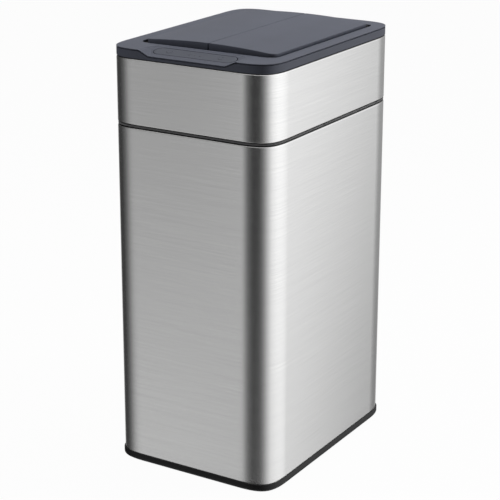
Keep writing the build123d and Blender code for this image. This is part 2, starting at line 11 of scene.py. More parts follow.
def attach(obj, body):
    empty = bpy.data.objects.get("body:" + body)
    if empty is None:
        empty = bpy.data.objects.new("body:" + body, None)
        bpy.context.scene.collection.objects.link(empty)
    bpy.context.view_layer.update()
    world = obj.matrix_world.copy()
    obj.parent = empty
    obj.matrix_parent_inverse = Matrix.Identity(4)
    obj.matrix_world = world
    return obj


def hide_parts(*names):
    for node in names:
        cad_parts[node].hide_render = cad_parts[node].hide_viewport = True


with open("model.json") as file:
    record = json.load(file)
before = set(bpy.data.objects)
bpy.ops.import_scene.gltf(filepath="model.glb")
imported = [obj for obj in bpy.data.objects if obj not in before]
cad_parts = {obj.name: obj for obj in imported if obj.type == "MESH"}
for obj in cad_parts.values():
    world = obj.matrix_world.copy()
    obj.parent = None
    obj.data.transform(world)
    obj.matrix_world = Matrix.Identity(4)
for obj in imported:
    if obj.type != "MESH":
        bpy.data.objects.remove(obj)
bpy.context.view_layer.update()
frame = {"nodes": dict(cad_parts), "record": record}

MM = 0.001
WELD_DISTANCE = 1e-7

# The bin in millimetres: front towards -Y, origin at the middle of the plan on the floor.
# A box is its lowest and highest X, then its lowest and highest Y.
# Insets are measured from the bin's outline.
HALF_W = 137.5
HALF_D = 186.0
CORNER_REACH = 52.0
CORNER_CUT = 10.54
CORNER_STEPS = 28

# Steel shells, and their hems as insets with the distance from the sheet's edge. The two rows of a hem on the
# flat face keep its shading level.
SHEET = 0.8
BODY_Z = (12.0, 528.0)
COLLAR_Z = (534.0, 630.0)
LOWER_HEM = ((0.5, 0.0), (0.15, 0.15), (0.0, 0.5), (0.0, 1.0))
UPPER_HEM = ((0.0, 2.4), (0.0, 1.9), (0.1, 1.25), (0.32, 0.6), (0.75, 0.0))

# Base ring, whose lower edge is a quarter round
FOOT_Z = (0.8, 12.0)
FOOT_PROUD = 1.8
FOOT_R = 3.6
FOOT_STEPS = 6
FOOT_TOP_EDGE = ((0.0, 0.8), (0.25, 0.2), (0.8, 0.0))
FOOT_IN = 16.0

# Rims of the body and the collar, with the lips that show in the gap between them
RIM_FACE_IN = 2.6
RIM_TUCK_IN = 1.0
RIM_BACK_IN = 3.2
LIP_EDGE_IN = 0.8
LIP_FACE_IN = 0.5
LIP_BACK_IN = 2.8
LIP_SOFT = 0.2
BODY_LIP_Z = (530.0, 531.0)
COLLAR_LIP_Z = (531.2, 532.2)
LEDGE_IN = 12.0
LEDGE_Z = (503.0, 505.0)
BODY_TUCK_Z = (527.9, 528.2)
COLLAR_TUCK_Z = (533.8, 534.1)
GUIDE_IN = (3.5, 4.7)
GUIDE_BOTTOM = 519.0
SEAT_IN = 8.0
SEAT_TOP = 532.7
COLLAR_RIM_TOP = 545.0

# Lid skirt: its foot as insets with heights over its base, and its top as insets with heights over the
# parting line
SKIRT_BASE = 631.2
SKIRT_FOOT = ((1.1, 0.0), (0.6, 0.15), (0.25, 0.6), (0.1, 1.2), (0.1, 1.7))
SKIRT_TOP = ((0.1, -0.9), (0.1, -0.4), (0.2, -0.12), (0.5, 0.0), (2.5, 0.0))
SKIRT_BACK_IN = 2.5
PARTING_Z = 642.8
PARTING_GAP = 1.2
PARTING_REACH = 3.0

# Top cover, the opening for the doors and the wall round it
COVER_TOP = 645.2
COVER_UNDER = 643.4
COVER_T = 1.8
COVER_LIP = 1.4
COVER_SPACING = 9.0
COVER_ROUNDS = (0.5, 0.6, 0.45)
OPEN = (-115.6, 115.6, -137.0, 160.0)
OPEN_R = 11.0
OPEN_FRONT_R = 17.0
WELL_WALL = 2.0
WELL_BOTTOM = 633.1
WELL_OVERLAP = 0.1

# Deck under the cover, with the throat, room for the sector gears and the bosses that carry the doors' shafts
DECK_Z = (630.4, 632.9)
DECK_IN = 2.6
PLATE_SPACING = 40.0
THROAT = (-98.0, 98.0, -125.0, 147.0)
THROAT_R = 6.0
PIVOT = (104.0, 641.0)
GEAR_ROOM_X = (85.0, 123.0)
GEAR_ROOM_Y = (155.2, 160.6)
GEAR_ROOM_R = 1.0
GEAR_ROOM_Z = 642.5
GEAR_CUT_X = PIVOT[0] - 4
GEAR_CUT_Y = OPEN[3] - 8
BEARING_Y = {"front": (-135.6, -129.5), "back": (152.8, 155.7)}
BEARING_R = 3.7
BEARING_STEPS = 12
BEARING_BEVEL = 0.4

# Console: a hollow that slopes down to the front, banked at its ends, with a fine groove round it
DIP = 7.7
DIP_OUTER_X = 81.0
DIP_INNER_X = 64.0
DIP_CORNER_R = 20.0
CONSOLE_RUN = 40.0
CONSOLE_MARGIN = 4.0
CONSOLE_GROOVE = 0.45
GROOVE_REACH = 0.7
GROOVE_START = 3.0
SLOPE = math.atan(DIP / CONSOLE_RUN)
BANK_SOFT = 0.8
BRINK_SOFT = 0.4
CREASE_INSETS = (-0.7, 0.0, 0.8)
CREASE_START = 1.2
CREASE_STEP = 1.6
CREASE_LONG_STEP = 4.0
CREASE_TURN_STEPS = 14
FINE_X = 96.0
FINE_RUN = (-1.0, 46.0)
FINE_SPACING = 2.2
FRONT_STEP = 1.5

# Sensor panel with its buttons and lenses
PANEL_L = 137.0
PANEL_W = 22.5
PANEL_MIDDLE = 23.25
PANEL_T = 1.6
PANEL_GAP = 1.0
PANEL_SUNK = 0.05
PANEL_SKIN = 1.2
PANEL_SPACING = 3.0
PANEL_FOOT = 0.1
PANEL_LIP = 0.6
PANEL_ROUND = 0.5
RECESS_ROOM = 0.6
BUTTON_X = 43.0
BUTTON_R = 4.2
BUTTON_GAP = 0.3
BUTTON_RISE = 0.15
BUTTON_SKIN = 1.0
BUTTON_LIP = 0.8
BUTTON_ROUND = 0.4
BUTTON_SPACING = 2.0
BUTTON_HOLE_ROUND = 0.25
LENS_X = 9.0
LENS_R = 2.5
LIGHT_R = 1.25
LENS_HOLE_ROUND = 0.1

# Right door, crowned towards the seam in the middle; the left one is its mirror image
DOOR = (0.5, 110.0, -128.0, 152.0)
DOOR_R = 8.0
DOOR_FRONT_R = 12.0
SEAM_R = 1.2
DOOR_SEAM_Z = 653.5
DOOR_EDGE_Z = 648.3
DOOR_WALL_BOTTOM = 640.7
DOOR_T = 2.0
DOOR_LIP = 2.0
DOOR_ROUND = 0.7
DOOR_SPACING = 8.0
DOOR_STEP = 5.0

# Edges of moulded sheets, and the angles that stay sharp, in degrees
EDGE_STEPS = 5
EDGE_BAND = 1.5
EDGE_FOOT_R = 0.3
GRID_CLEARANCE = 0.45
WALL_SHARP = 40
SHEET_SHARP = 50


# Outlines: lists of (x, y, outward x, outward y) in millimetres, anticlockwise

def corner_curve():
    """A corner whose bend grows and fades smoothly, from the +Y-going side to the next."""
    reach = CORNER_REACH
    handle = reach * (4 - 8 * CORNER_CUT / reach) / 3
    ends = [(0.0, reach), (0.0, reach - handle), (reach - handle, 0.0), (reach, 0.0)]
    made = []
    for step in range(CORNER_STEPS + 1):
        t = step / CORNER_STEPS
        weights = ((1 - t) ** 3, 3 * t * (1 - t) ** 2, 3 * t * t * (1 - t), t ** 3)
        slopes = (-3 * (1 - t) ** 2, 3 * (1 - t) * (1 - 3 * t), 3 * t * (2 - 3 * t), 3 * t * t)
        x = sum(w * p[0] for w, p in zip(weights, ends))
        y = sum(w * p[1] for w, p in zip(weights, ends))
        dx = sum(w * p[0] for w, p in zip(slopes, ends))
        dy = sum(w * p[1] for w, p in zip(slopes, ends))
        length = math.hypot(dx, dy)
        made.append((x, y, -dy / length, dx / length))
    return made


def bin_outline():
    """The bin's plan: four soft corners joined by flat sides."""
    curve = [(x, y, -abs(nx), -abs(ny)) for x, y, nx, ny in corner_curve()]
    loop = []
    for sx, sy, flip in ((-1, -1, False), (1, -1, True), (1, 1, False), (-1, 1, True)):
        part = reversed(curve) if flip else curve
        for x, y, nx, ny in part:
            loop.append((sx * (HALF_W - x), sy * (HALF_D - y), -sx * nx, -sy * ny))
    return loop


def rounded_box(x0, x1, y0, y1, radii, steps=10):
    """A rectangle with a radius for each corner, from the low-x low-y one round anticlockwise."""
    loop = []
    corners = ((x0, y0, 180), (x1, y0, 270), (x1, y1, 0), (x0, y1, 90))
    for (x, y, start), radius in zip(corners, radii):
        cx = x + (radius if x == x0 else -radius)
        cy = y + (radius if y == y0 else -radius)
        for step in range(steps + 1):
            angle = math.radians(start + 90 * step / steps)
            nx, ny = math.cos(angle), math.sin(angle)
            loop.append((cx + radius * nx, cy + radius * ny, nx, ny))
    return loop


def stadium(grow=0.0, steps=20):
    """The sensor panel's outline in plan, on the slope."""
    half = PANEL_W / 2 + grow
    straight = PANEL_L / 2 - PANEL_W / 2
    middle = -HALF_D + PANEL_MIDDLE
    loop = []
    for cx, start in ((straight, -90), (-straight, 90)):
        for step in range(steps + 1):
            angle = math.radians(start + 180 * step / steps)
            nx, ny = math.cos(angle), math.sin(angle)
            loop.append((cx + half * nx, middle + half * ny * math.cos(SLOPE), nx, ny))
    return loop


def circle(cx, cy, radius, steps=24):
    """A round outline on the slope, seen in plan."""
    loop = []
    for step in range(steps):
        angle = 2 * math.pi * step / steps
        nx, ny = math.cos(angle), math.sin(angle)
        loop.append((cx + radius * nx, cy + radius * ny * math.cos(SLOPE), nx, ny))
    return loop


def hole(loop):
    """The same outline as the edge of a hole: turned round, its outward side inside."""
    return [(x, y, -nx, -ny) for x, y, nx, ny in reversed(loop)]


def moved_in(loop, inset):
    """The outline's points, drawn in by inset."""
    return [(x - nx * inset, y - ny * inset) for x, y, nx, ny in loop]


def on_front(point):
    return point[1] < -HALF_D + 0.01


def split_long(outline, longest, front_only=False):
    """The outline with its long stretches along X cut into short ones, everywhere or only along the front."""
    made = []
    for here, there in zip(outline, outline[1:] + outline[:1]):
        length = abs(there[0] - here[0])
        steps = max(1, round(length / longest))
        if front_only and not (on_front(here) and on_front(there) and length > 5):
            steps = 1
        for step in range(steps):
            share = step / steps
            x = here[0] + (there[0] - here[0]) * share
            y = here[1] + (there[1] - here[1]) * share
            made.append((x, y, here[2], here[3]))
    return made


def lid_outline():
    """The bin's plan with extra points along the front, where the console bends the lid's edge."""
    return split_long(bin_outline(), FRONT_STEP, front_only=True)


# Meshes

def piece(name, verts, faces, body, slot, replaces=(), sharp=WALL_SHARP):
    """A mesh in millimetres turned into a piece that rides on a body."""
    mesh = bpy.data.meshes.new(name)
    mesh.from_pydata([(x * MM, y * MM, z * MM) for x, y, z in verts], [], faces)
    work = bmesh.new()
    work.from_mesh(mesh)
    bmesh.ops.remove_doubles(work, verts=work.verts, dist=WELD_DISTANCE)
    bmesh.ops.recalc_face_normals(work, faces=work.faces)
    work.to_mesh(mesh)
    work.free()
    mesh.shade_smooth()
    mesh.set_sharp_from_angle(angle=math.radians(sharp))
    made = bpy.data.objects.new(name, mesh)
    bpy.context.scene.collection.objects.link(made)
    made.data.materials.append(MATERIALS[slot])
    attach(made, body)
    if replaces:
        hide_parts(*replaces)
    return made


class Net:
    """Vertices and faces under construction."""

    def __init__(self):
        self.verts = []
        self.faces = []

    def loop(self, points):
        first = len(self.verts)
        self.verts.extend(points)
        return list(range(first, len(self.verts)))

    def bridge(self, low, high):
        count = len(low)
        for i in range(count):
            j = (i + 1) % count
            self.faces.append((low[i], low[j], high[j], high[i]))

    def wall(self, loops):
        """Joins each loop to the next and the last to the first, which closes the wall's section."""
        for low, high in zip(loops, loops[1:] + loops[:1]):
            self.bridge(low, high)

    def fill(self, loops, height, spacing, patches=(), creases=()):
        """Triangles inside the first loop and outside the others, with edges along creases."""
        fixed = [index for loop in loops for index in loop]
        flat = [Vector(self.verts[index][:2]) for index in fixed]
        edges = []
        start = 0
        for loop in loops:
            count = len(loop)
            edges += [(start + i, start + (i + 1) % count) for i in range(count)]
            start += count
        outlines = [np.array([self.verts[index][:2] for index in loop]) for loop in loops]
        for crease in creases:
            edges += [(len(flat) + i, len(flat) + i + 1) for i in range(len(crease) - 1)]
            flat += [Vector(point) for point in crease]
        flat += [Vector(point) for point in grid_points(outlines, spacing, patches, creases)]
        found = delaunay_2d_cdt(flat, edges, [], 0, 1e-6)
        coords, triangles, origins = found[0], found[2], found[3]
        index_of = []
        for place, source in zip(coords, origins):
            old = [s for s in source if s < len(fixed)]
            if old:
                index_of.append(fixed[old[0]])
            else:
                index_of.append(len(self.verts))
                self.verts.append((place.x, place.y, height(place.x, place.y)))
        middles = np.array([[sum(coords[i][k] for i in tri) / 3 for k in (0, 1)] for tri in triangles])
        keep = inside(middles, outlines)
        self.faces += [tuple(index_of[i] for i in tri) for tri, ok in zip(triangles, keep) if ok]


def inside(points, outlines):
    """Whether each point lies in an odd number of the outlines."""
    count = np.zeros(len(points), int)
    for outline in outlines:
        nxt = np.roll(outline, -1, axis=0)
        for (x0, y0), (x1, y1) in zip(outline, nxt):
            if y0 == y1:
                continue
            spans = (points[:, 1] > min(y0, y1)) & (points[:, 1] <= max(y0, y1))
            x = x0 + (points[:, 1] - y0) * (x1 - x0) / (y1 - y0)
            count += spans & (points[:, 0] < x)
    return count % 2 == 1


def edge_distance(points, starts, ends):
    """Each point's distance to the nearest of the segments."""
    best = np.full(len(points), np.inf)
    for a, b in zip(starts, ends):
        along = b - a
        length = float(along @ along)
        if length == 0:
            continue
        t = np.clip(((points - a) @ along) / length, 0, 1)
        gap = points - (a + t[:, None] * along)
        best = np.minimum(best, np.hypot(gap[:, 0], gap[:, 1]))
    return best


def grid_points(outlines, spacing, patches, creases):
    """Points on a grid inside the outlines, finer in the patches, none close to an edge."""
    made = []
    low, high = outlines[0].min(0), outlines[0].max(0)
    areas = [(low[0], high[0], low[1], high[1], spacing)] + list(patches)
    for number, (x0, x1, y0, y1, step) in enumerate(areas):
        xs = np.linspace(x0, x1, max(2, round((x1 - x0) / step)) + 1)
        ys = np.linspace(y0, y1, max(2, round((y1 - y0) / step)) + 1)
        points = np.array([(x, y) for x in xs for y in ys])
        points = points[inside(points, outlines)]
        for a0, a1, b0, b1, _ in areas[number + 1:]:
            clear = (points[:, 0] < a0) | (points[:, 0] > a1) | (points[:, 1] < b0) | (points[:, 1] > b1)
            points = points[clear]
        apart = step * GRID_CLEARANCE
        for outline in outlines:
            points = points[edge_distance(points, outline, np.roll(outline, -1, axis=0)) > apart]
        for crease in map(np.array, creases):
            points = points[edge_distance(points, crease[:-1], crease[1:]) > apart]
        made.extend(map(tuple, points))
    return made


def wall_piece(name, profile, body, slot, replaces=()):
    """A closed section of (inset, z) points carried round the bin's outline."""
    net = Net()
    outline = bin_outline()
    net.wall([net.loop([(x, y, z) for x, y in moved_in(outline, inset)]) for inset, z in profile])
    piece(name, net.verts, net.faces, body, slot, replaces)


def sheet_net(edges, height, thickness, rounds, bottoms, spacing, lip, patches=(), creases=()):
    """A moulded sheet: its top follows height, each edge is rounded and turned down to its bottom."""
    net = Net()
    tops = []
    unders = []
    for outline, radius, bottom in zip(edges, rounds, bottoms):
        soft = min(radius, EDGE_FOOT_R)
        foot = net.loop([(x, y, bottom(x, y)) for x, y in moved_in(outline, soft)])
        last = net.loop([(x, y, bottom(x, y) + soft) for x, y in moved_in(outline, 0)])
        net.bridge(foot, last)
        for step in range(EDGE_STEPS + 1):
            turn = math.radians(90 / EDGE_STEPS * step)
            inset = radius * (1 - math.cos(turn))
            drop = radius * (1 - math.sin(turn))
            places = moved_in(outline, inset)
            nxt = net.loop([(x, y, height(x, y) - drop) for x, y in places])
            net.bridge(last, nxt)
            last = nxt
        band = net.loop([(x, y, height(x, y)) for x, y in moved_in(outline, radius * EDGE_BAND)])
        net.bridge(last, band)
        tops.append(band)
        inner = net.loop([(x, y, bottom(x, y)) for x, y in moved_in(outline, lip)])
        under = net.loop([(x, y, height(x, y) - thickness) for x, y in moved_in(outline, lip)])
        net.bridge(inner, foot)
        net.bridge(under, inner)
        unders.append(under)
    net.fill(tops, height, spacing, patches, creases)
    net.fill(unders, lambda x, y: height(x, y) - thickness, spacing * 2)
    return net


def plate_with_holes(name, loops, z0, z1, body, slot):
    """A flat plate inside the first outline and outside the others."""
    net = Net()
    flat = [moved_in(loop, 0) for loop in loops]
    low = [net.loop([(x, y, z0) for x, y in loop]) for loop in flat]
    high = [net.loop([(x, y, z1) for x, y in loop]) for loop in flat]
    for a, b in zip(low, high):
        net.bridge(a, b)
    net.fill(high, lambda x, y: z1, PLATE_SPACING)
    net.fill(low, lambda x, y: z0, PLATE_SPACING)
    piece(name, net.verts, net.faces, body, slot)


def bevel(made, width):
    modifier = made.modifiers.new("edges", "BEVEL")
    modifier.width = width * MM
    modifier.segments = 2
    modifier.limit_method = "ANGLE"
    modifier.angle_limit = math.radians(50)


# Materials

MATERIALS = {}


def new_material(slot):
    material = bpy.data.materials.new(slot)
    material.use_nodes = True
    MATERIALS[slot] = material
    tree = material.node_tree
    return tree, tree.nodes["Principled BSDF"]


def node(tree, kind, **settings):
    made = tree.nodes.new(kind)
    for key, value in settings.items():
        setattr(made, key, value)
    return made


def stretched(tree, scale=(1, 1, 1)):
    """Object coordinates with each axis scaled."""
    coords = node(tree, "ShaderNodeTexCoord")
    mapping = node(tree, "ShaderNodeMapping")
    mapping.inputs["Scale"].default_value = scale
    tree.links.new(coords.outputs["Object"], mapping.inputs["Vector"])
    return mapping.outputs["Vector"]


def noise(tree, vector, scale, detail=2.0, rough=0.5):
    made = node(tree, "ShaderNodeTexNoise")
    made.inputs["Scale"].default_value = scale
    made.inputs["Detail"].default_value = detail
    made.inputs["Roughness"].default_value = rough
    tree.links.new(vector, made.inputs["Vector"])
    return made.outputs["Fac"]


def ramp_between(tree, factor, low, high, low_at=0.3, high_at=0.7):
    """A value or colour that runs from low to high as the factor grows."""
    made = node(tree, "ShaderNodeValToRGB")
    for stop, value, place in zip(made.color_ramp.elements, (low, high), (low_at, high_at)):
        colour = value if isinstance(value, tuple) else (value,) * 3
        stop.position = place
        stop.color = (*colour, 1)
    tree.links.new(factor, made.inputs["Fac"])
    return made.outputs["Color"]


def bump(tree, shader, height, strength, distance):
    made = node(tree, "ShaderNodeBump")
    made.inputs["Strength"].default_value = strength
    made.inputs["Distance"].default_value = distance
    tree.links.new(height, made.inputs["Height"])
    tree.links.new(made.outputs["Normal"], shader.inputs["Normal"])


def brushed_steel():
    """Stainless sheet brushed level, so reflections run up and down in bands."""
    tree, shader = new_material("steel")
    shader.inputs["Metallic"].default_value = 1.0
    shader.inputs["Anisotropic"].default_value = 0.8
    shader.inputs["Anisotropic Rotation"].default_value = 0.25
    fine = noise(tree, stretched(tree, (9, 9, 2600)), scale=1.0, detail=3.0, rough=0.6)
    broad = noise(tree, stretched(tree, (3, 3, 260)), scale=1.0)
    colour = ramp_between(tree, fine, (0.80, 0.80, 0.80), (0.90, 0.90, 0.895))
    tree.links.new(colour, shader.inputs["Base Color"])
    tree.links.new(ramp_between(tree, broad, 0.21, 0.235), shader.inputs["Roughness"])
    tangent = node(tree, "ShaderNodeTangent", direction_type="RADIAL", axis="Z")
    tree.links.new(tangent.outputs["Tangent"], shader.inputs["Tangent"])
    bump(tree, shader, fine, strength=0.04, distance=0.0001)


def moulded(slot, dark, light, rough, grain=2600.0, strength=0.12, specular=0.3):
    """A moulded plastic with a fine spark-eroded grain and slight tone changes."""
    tree, shader = new_material(slot)
    vector = stretched(tree)
    broad = noise(tree, vector, scale=14.0, detail=3.0)
    fine = noise(tree, vector, scale=grain, rough=0.6)
    tree.links.new(ramp_between(tree, broad, dark, light), shader.inputs["Base Color"])
    tree.links.new(ramp_between(tree, fine, rough - 0.04, rough + 0.05), shader.inputs["Roughness"])
    bump(tree, shader, fine, strength, distance=0.00006)
    shader.inputs["Specular IOR Level"].default_value = specular


def plated(slot, dark, light, rough):
    """A plated or treated metal with faint spots."""
    tree, shader = new_material(slot)
    shader.inputs["Metallic"].default_value = 1.0
    spots = noise(tree, stretched(tree), scale=90.0, detail=4.0, rough=0.6)
    tree.links.new(ramp_between(tree, spots, dark, light), shader.inputs["Base Color"])
    tree.links.new(ramp_between(tree, spots, rough - 0.06, rough + 0.08), shader.inputs["Roughness"])
    bump(tree, shader, spots, strength=0.04, distance=0.0001)


def make_materials():
    brushed_steel()
    moulded("slate_plastic", (0.107, 0.115, 0.148), (0.118, 0.127, 0.163), 0.42, specular=0.25)
    moulded("panel_plastic", (0.096, 0.104, 0.131), (0.106, 0.115, 0.144), 0.38, strength=0.05, specular=0.25)
    moulded("black_plastic", (0.012, 0.012, 0.013), (0.018, 0.018, 0.019), 0.42)
    # rim_plastic: the grey of the lips in the gap under the collar is a painted highlight, standing in for
    # the lit edge of the black rims
    moulded("rim_plastic", (0.22, 0.22, 0.225), (0.25, 0.25, 0.255), 0.45)
    moulded("rubber", (0.018, 0.018, 0.018), (0.03, 0.03, 0.03), 0.75, grain=900.0, strength=0.3)
    moulded("nylon", (0.035, 0.035, 0.037), (0.05, 0.05, 0.053), 0.42)
    moulded("board", (0.012, 0.11, 0.04), (0.02, 0.16, 0.06), 0.35, grain=500.0)
    moulded("lens", (0.085, 0.091, 0.112), (0.092, 0.099, 0.122), 0.30, strength=0.02)
    moulded("light", (0.110, 0.100, 0.108), (0.125, 0.112, 0.120), 0.30, strength=0.02)
    moulded("switch_black", (0.02, 0.02, 0.02), (0.035, 0.035, 0.035), 0.40)
    moulded("cell", (0.05, 0.05, 0.06), (0.08, 0.08, 0.10), 0.30, strength=0.03)
    moulded("wire", (0.02, 0.02, 0.02), (0.04, 0.04, 0.04), 0.45)
    plated("plated_steel", (0.52, 0.52, 0.50), (0.66, 0.66, 0.64), 0.34)
    plated("black_steel", (0.05, 0.05, 0.052), (0.08, 0.08, 0.083), 0.40)
    plated("contact", (0.60, 0.50, 0.28), (0.72, 0.62, 0.38), 0.28)


def dress_cad():
    """Gives every carried-over CAD node the material of its slot."""
    slots = {entry["node"]: entry["material_slot"] for entry in frame["record"]["subparts"]}
    for name, made in frame["nodes"].items():
        made.data.materials.clear()
        made.data.materials.append(MATERIALS[slots[name]])


# Steel shells, base ring and rims

def hemmed(z0, z1):
    """The section of a sheet wall with softened edges."""
    lower = [(inset, z0 + up) for inset, up in LOWER_HEM]
    upper = [(inset, z1 - down) for inset, down in UPPER_HEM]
    return lower + upper + [(SHEET, z1), (SHEET, z0)]


def make_shells():
    wall_piece("steel_body", hemmed(*BODY_Z), "bin", "steel", ["body_shell"])
    wall_piece("steel_collar", hemmed(*COLLAR_Z), "lid", "steel", ["collar_shell"])


def make_base_ring():
    bottom, top = FOOT_Z
    profile = []
    for step in range(FOOT_STEPS + 1):
        turn = math.radians(90 / FOOT_STEPS * step)
        profile.append((-FOOT_PROUD + FOOT_R * (1 - math.sin(turn)), bottom + FOOT_R * (1 - math.cos(turn))))
    profile += [(-FOOT_PROUD + inset, top - down) for inset, down in FOOT_TOP_EDGE]
    profile += [(FOOT_IN, top), (FOOT_IN, bottom)]
    wall_piece("foot_ring", profile, "bin", "black_plastic", ["base_ring"])


def lip(z0, z1):
    """The section of a lip that shows in the gap under the collar, grey as a painted highlight: the lit edge
    of the black rim.
    """
    return [
        (LIP_EDGE_IN, z0), (LIP_FACE_IN, z0 + LIP_SOFT), (LIP_FACE_IN, z1 - LIP_SOFT), (LIP_EDGE_IN, z1),
        (LIP_BACK_IN, z1), (LIP_BACK_IN, z0),
    ]


def make_rims():
    """The body's rim with the ledge that carries the bag ring, and the collar's rim that sits on it."""
    split = BODY_LIP_Z[1]
    ledge_bottom, ledge_top = LEDGE_Z
    body = [
        (RIM_FACE_IN, split), (RIM_BACK_IN, split), (RIM_BACK_IN, ledge_top), (LEDGE_IN, ledge_top),
        (LEDGE_IN, ledge_bottom), (RIM_TUCK_IN, ledge_bottom), (RIM_TUCK_IN, BODY_TUCK_Z[0]),
        (RIM_FACE_IN, BODY_TUCK_Z[1]),
    ]
    wall_piece("body_rim_moulding", body, "bin", "black_plastic", ["body_rim"])
    # The body's lip is grey: a painted highlight on the black rim's edge
    wall_piece("body_rim_lip", lip(*BODY_LIP_Z), "bin", "rim_plastic")
    seat = COLLAR_LIP_Z[0]
    guide_face, guide_back = GUIDE_IN
    collar = [
        (RIM_FACE_IN, seat), (guide_face, seat), (guide_face, GUIDE_BOTTOM), (guide_back, GUIDE_BOTTOM),
        (guide_back, seat), (SEAT_IN, seat), (SEAT_IN, SEAT_TOP), (RIM_BACK_IN, SEAT_TOP),
        (RIM_BACK_IN, COLLAR_RIM_TOP), (RIM_TUCK_IN, COLLAR_RIM_TOP), (RIM_TUCK_IN, COLLAR_TUCK_Z[1]),
        (RIM_FACE_IN, COLLAR_TUCK_Z[0]),
    ]
    wall_piece("collar_rim_moulding", collar, "lid", "black_plastic", ["collar_rim"])
    # The collar's lip is grey: a painted highlight on the black rim's edge
    wall_piece("collar_rim_lip", lip(*COLLAR_LIP_Z), "lid", "rim_plastic")


# Top cover with the console, the wall round the doors, skirt and deck

def console_inset(x, run):
    """How far a place lies inside the edge of the console's hollow, whose back corners are round."""
    past_x = abs(x) - (DIP_OUTER_X - DIP_CORNER_R)
    past_run = run - (CONSOLE_RUN - DIP_CORNER_R)
    if past_x > 0 and past_run > 0:
        return DIP_CORNER_R - math.hypot(past_x, past_run)
    return min(DIP_OUTER_X - abs(x), CONSOLE_RUN - run)


def soft_min(a, b, blend):
    """The lower of two heights, rounded where they cross."""
    gap = max(blend - abs(a - b), 0.0) / blend
    return min(a, b) - gap * gap * blend / 4


def slope_height(y):
    return COVER_TOP - DIP + (y + HALF_D) * math.tan(SLOPE)


def cover_height(x, y):
    """The top cover's upper surface: level, but for the console's slope and the bank at its ends."""
    run = y + HALF_D
    if run > CONSOLE_RUN + CONSOLE_MARGIN or abs(x) > DIP_OUTER_X + CONSOLE_MARGIN:
        return COVER_TOP
    inset = console_inset(x, run)
    bank = COVER_TOP - inset * DIP / (DIP_OUTER_X - DIP_INNER_X)
    hollow = -soft_min(-slope_height(y), -bank, BANK_SOFT)
    groove = CONSOLE_GROOVE * max(0.0, 1 - abs(inset) / GROOVE_REACH) if run > GROOVE_START else 0.0
    return soft_min(COVER_TOP + BRINK_SOFT / 4, hollow, BRINK_SOFT) - groove


def console_line(inset):
    """Points along the hollow's edge, drawn in by inset, from its left end at the front to its right end."""
    reach = DIP_CORNER_R - inset
    side = CONSOLE_RUN - DIP_CORNER_R
    straight = DIP_OUTER_X - DIP_CORNER_R
    line = []
    for step in range(round(side / CREASE_STEP)):
        line.append((-DIP_OUTER_X + inset, -HALF_D + CREASE_START + CREASE_STEP * step))
    for step in range(CREASE_TURN_STEPS + 1):
        turn = math.radians(90 * step / CREASE_TURN_STEPS)
        line.append((-(straight + reach * math.cos(turn)), -HALF_D + side + reach * math.sin(turn)))
    back = line[-1][1]
    for step in range(1, round(straight / CREASE_LONG_STEP)):
        line.append((-straight + CREASE_LONG_STEP * step, back))
    return line + [(0.0, back)] + [(-x, y) for x, y in reversed(line)]


def parting(x, y, level):
    """The height of the line between skirt and cover, which dips under the console."""
    return level + cover_height(x, y) - COVER_TOP if y < -HALF_D + PARTING_REACH else level


def make_cover():
    opening = hole(rounded_box(*OPEN, (OPEN_FRONT_R, OPEN_FRONT_R, OPEN_R, OPEN_R)))
    edges = [lid_outline(), opening, hole(stadium(PANEL_GAP))]
    bottoms = [
        lambda x, y: parting(x, y, PARTING_Z + PARTING_GAP),
        lambda x, y: COVER_UNDER,
        lambda x, y: cover_height(x, y) - PANEL_T - RECESS_ROOM,
    ]
    patches = [(-FINE_X, FINE_X, -HALF_D + FINE_RUN[0], -HALF_D + FINE_RUN[1], FINE_SPACING)]
    creases = [console_line(inset) for inset in CREASE_INSETS]
    net = sheet_net(
        edges, cover_height, COVER_T, COVER_ROUNDS, bottoms, COVER_SPACING, COVER_LIP, patches, creases,
    )
    piece("lid_cover", net.verts, net.faces, "lid", "slate_plastic", ["top_cover"], SHEET_SHARP)


def well_bottom(x, y):
    """The foot of the wall round the doors, cut away where the sector gears swing."""
    return GEAR_ROOM_Z if y > GEAR_CUT_Y and abs(x) > GEAR_CUT_X else WELL_BOTTOM


def make_door_well():
    outline = rounded_box(*OPEN, (OPEN_R,) * 4)
    top = COVER_UNDER + WELL_OVERLAP
    net = Net()
    loops = []
    for outset, high in ((0.0, False), (WELL_WALL, False), (WELL_WALL, True), (0.0, True)):
        places = moved_in(outline, -outset)
        loops.append(net.loop([(x, y, top if high else well_bottom(x, y)) for x, y in places]))
    net.wall(loops)
    # The wall is black plastic so that the gap round the doors renders dark: painted shade in the gap
    piece("door_well", net.verts, net.faces, "lid", "black_plastic")


def make_skirt():
    """The frame's outer wall: shows between the steel collar and the cover."""
    net = Net()
    outline = lid_outline()
    loops = []
    for inset, up in SKIRT_FOOT:
        loops.append(net.loop([(x, y, SKIRT_BASE + up) for x, y in moved_in(outline, inset)]))
    for inset, up in SKIRT_TOP:
        places = moved_in(outline, inset)
        loops.append(net.loop([(x, y, parting(x, y, PARTING_Z + up)) for x, y in places]))
    loops.append(net.loop([(x, y, SKIRT_BASE) for x, y in moved_in(outline, SKIRT_BACK_IN)]))
    net.wall(loops)
    piece("lid_skirt", net.verts, net.faces, "lid", "slate_plastic", ["lid_frame"])


def make_deck():
    """The frame's floor and the bearing bosses on it."""
    outer = [(x - nx * DECK_IN, y - ny * DECK_IN, nx, ny) for x, y, nx, ny in bin_outline()]
    holes = [rounded_box(*THROAT, (THROAT_R,) * 4)]
    for side in (-1, 1):
        x0, x1 = sorted(side * x for x in GEAR_ROOM_X)
        holes.append(rounded_box(x0, x1, *GEAR_ROOM_Y, (GEAR_ROOM_R,) * 4))
    plate_with_holes("lid_deck", [outer] + holes, *DECK_Z, "lid", "black_plastic")
    for side, name in ((-1, "left"), (1, "right")):
        for end, (y0, y1) in BEARING_Y.items():
            boss(f"{name}_{end}_bearing", side * PIVOT[0], y0, y1)


